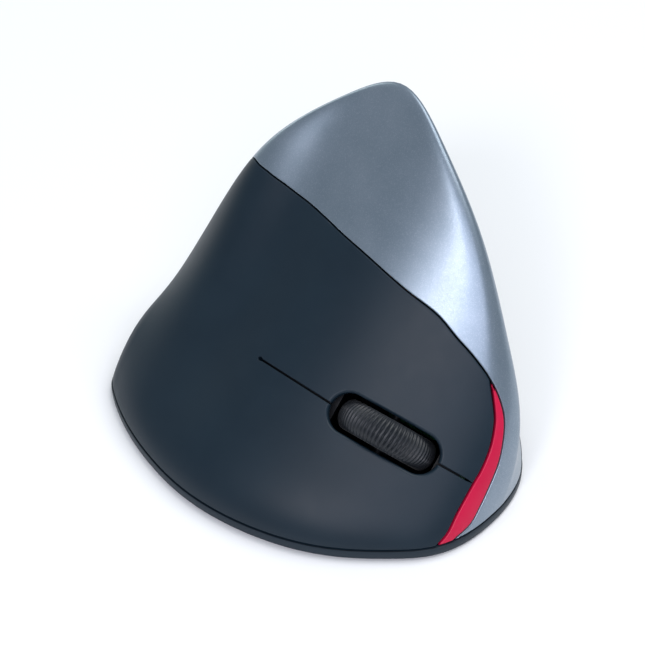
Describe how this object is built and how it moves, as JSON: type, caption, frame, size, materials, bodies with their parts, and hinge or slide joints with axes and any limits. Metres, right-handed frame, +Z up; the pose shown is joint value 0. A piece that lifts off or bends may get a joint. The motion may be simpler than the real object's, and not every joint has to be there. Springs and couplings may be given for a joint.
{
  "type": "vertical computer mouse",
  "caption": "Upright right-handed wireless mouse with a tilted finger side, ribbed scroll wheel, side keys, red nose trim and a battery bay in its base.",
  "frame": {"origin": "on the desk, under the middle of the body's outline", "axes": "+Z up, +Y towards the nose, +X towards the finger side"},
  "size_m": [0.081, 0.104, 0.0764],
  "materials": {
    "black": "satin",
    "grey": "metallic satin",
    "red": "satin",
    "dark": "matte",
    "rubber": "matte",
    "white": "matte",
    "clear": "clear",
    "board": "satin",
    "steel": "brushed",
    "cell": "satin",
    "orange": "satin"
  },
  "bodies": {
    "body": {"palm_shell": "black", "thumb_shell": "black", "ridge_shell": "grey", "red_trim": "red", "base": "dark", "glide_foot_1": "white", "glide_foot_2": "white", "glide_foot_3": "white", "glide_foot_4": "white", "wheel_encoder": "dark", "button_board": "board", "button_board_screw_1": "steel", "button_board_screw_2": "steel", "button_board_screw_3": "steel", "left_switch": "dark", "right_switch": "dark", "wheel_switch": "steel", "forward_switch": "steel", "back_switch": "steel", "resolution_switch": "steel", "side_board": "board", "side_board_screw_1": "steel", "side_board_screw_2": "steel", "main_board": "board", "main_board_screw_1": "steel", "main_board_screw_2": "steel", "sensor_chip": "dark", "sensor_lens": "clear", "controller_chip": "dark", "power_switch": "steel", "button_cable": "orange", "side_cable": "orange", "battery_1": "cell", "battery_2": "cell", "contact_spring_1": "steel", "contact_spring_2": "steel", "contact_bridge": "steel", "contact_plus": "steel", "contact_minus": "steel", "spine_frame": "dark", "base_screw_1": "steel", "base_screw_2": "steel"},
    "left_button": {"left_button": "black"},
    "left_plunger": {"left_switch_plunger": "red"},
    "right_button": {"right_button": "black"},
    "right_plunger": {"right_switch_plunger": "red"},
    "wheel_carrier": {"wheel_carrier": "white"},
    "scroll_wheel": {"wheel_tyre": "rubber", "wheel_hub": "dark"},
    "wheel_plunger": {"wheel_switch_plunger": "dark"},
    "forward_key": {"forward_key": "black"},
    "forward_plunger": {"forward_switch_plunger": "dark"},
    "back_key": {"back_key": "black"},
    "back_plunger": {"back_switch_plunger": "dark"},
    "resolution_key": {"resolution_key": "black"},
    "resolution_plunger": {"resolution_switch_plunger": "dark"},
    "power_slider": {"power_slider": "white"},
    "battery_door": {"battery_door": "dark"},
    "receiver": {"receiver_body": "dark", "receiver_plug": "steel"}
  },
  "joints": [
    {"name": "left_click", "type": "hinge", "parent": "body", "child": "left_button", "pos_m": [0.01281, -0.01209, 0.02508], "axis": [-0.7916, -0.0004, 0.611], "range_deg": [0, 0.35], "stiffness_Nm_per_rad": 3.4, "springref_deg": -0.17},
    {"name": "left_plunger_travel", "type": "slide", "parent": "body", "child": "left_plunger", "axis": [-0.5791, -0.3185, -0.7505], "range_m": [0, 0.0003]},
    {"name": "right_click", "type": "hinge", "parent": "body", "child": "right_button", "pos_m": [0.01281, -0.01209, 0.02508], "axis": [-0.7916, -0.0004, 0.611], "range_deg": [0, 0.35], "stiffness_Nm_per_rad": 3.4, "springref_deg": -0.17},
    {"name": "right_plunger_travel", "type": "slide", "parent": "body", "child": "right_plunger", "axis": [-0.5791, -0.3185, -0.7505], "range_m": [0, 0.0003]},
    {"name": "wheel_press", "type": "slide", "parent": "body", "child": "wheel_carrier", "axis": [-0.5791, -0.3185, -0.7505], "range_m": [0, 0.0004], "stiffness_N_per_m": 1500, "springref_m": -0.0002},
    {"name": "wheel_spin", "type": "hinge", "parent": "wheel_carrier", "child": "scroll_wheel", "pos_m": [0.00587, 0.02412, 0.01587], "axis": [-0.7916, -0.0004, 0.611], "continuous": true},
    {"name": "wheel_plunger_travel", "type": "slide", "parent": "body", "child": "wheel_plunger", "axis": [-0.5791, -0.3185, -0.7505], "range_m": [0, 0.0004]},
    {"name": "forward_press", "type": "slide", "parent": "body", "child": "forward_key", "axis": [0.9406, -0.281, 0.1904], "range_m": [0, 0.0004], "stiffness_N_per_m": 1500, "springref_m": -0.0003},
    {"name": "forward_plunger_travel", "type": "slide", "parent": "body", "child": "forward_plunger", "axis": [0.9406, -0.281, 0.1904], "range_m": [0, 0.0004]},
    {"name": "back_press", "type": "slide", "parent": "body", "child": "back_key", "axis": [0.9406, -0.281, 0.1904], "range_m": [0, 0.0004], "stiffness_N_per_m": 1500, "springref_m": -0.0003},
    {"name": "back_plunger_travel", "type": "slide", "parent": "body", "child": "back_plunger", "axis": [0.9406, -0.281, 0.1904], "range_m": [0, 0.0004]},
    {"name": "resolution_press", "type": "slide", "parent": "body", "child": "resolution_key", "axis": [0.9406, -0.281, 0.1904], "range_m": [0, 0.0004], "stiffness_N_per_m": 1500, "springref_m": -0.0003},
    {"name": "resolution_plunger_travel", "type": "slide", "parent": "body", "child": "resolution_plunger", "axis": [0.9406, -0.281, 0.1904], "range_m": [0, 0.0004]},
    {"name": "power_slide", "type": "slide", "parent": "body", "child": "power_slider", "axis": [0, 1, 0], "range_m": [0, 0.0026]},
    {"name": "battery_door_off", "type": "slide", "parent": "body", "child": "battery_door", "axis": [0, 0, -1], "range_m": [0, 0.03]},
    {"name": "receiver_out", "type": "slide", "parent": "body", "child": "receiver", "axis": [0, 0, -1], "range_m": [0, 0.024]}
  ],
  "couplings": [
    {"joint": "left_plunger_travel", "follows": "left_click", "m_per_rad": 0.0479},
    {"joint": "right_plunger_travel", "follows": "right_click", "m_per_rad": 0.038},
    {"joint": "wheel_plunger_travel", "follows": "wheel_press", "ratio": 1},
    {"joint": "forward_plunger_travel", "follows": "forward_press", "ratio": 1},
    {"joint": "back_plunger_travel", "follows": "back_press", "ratio": 1},
    {"joint": "resolution_plunger_travel", "follows": "resolution_press", "ratio": 1}
  ]
}
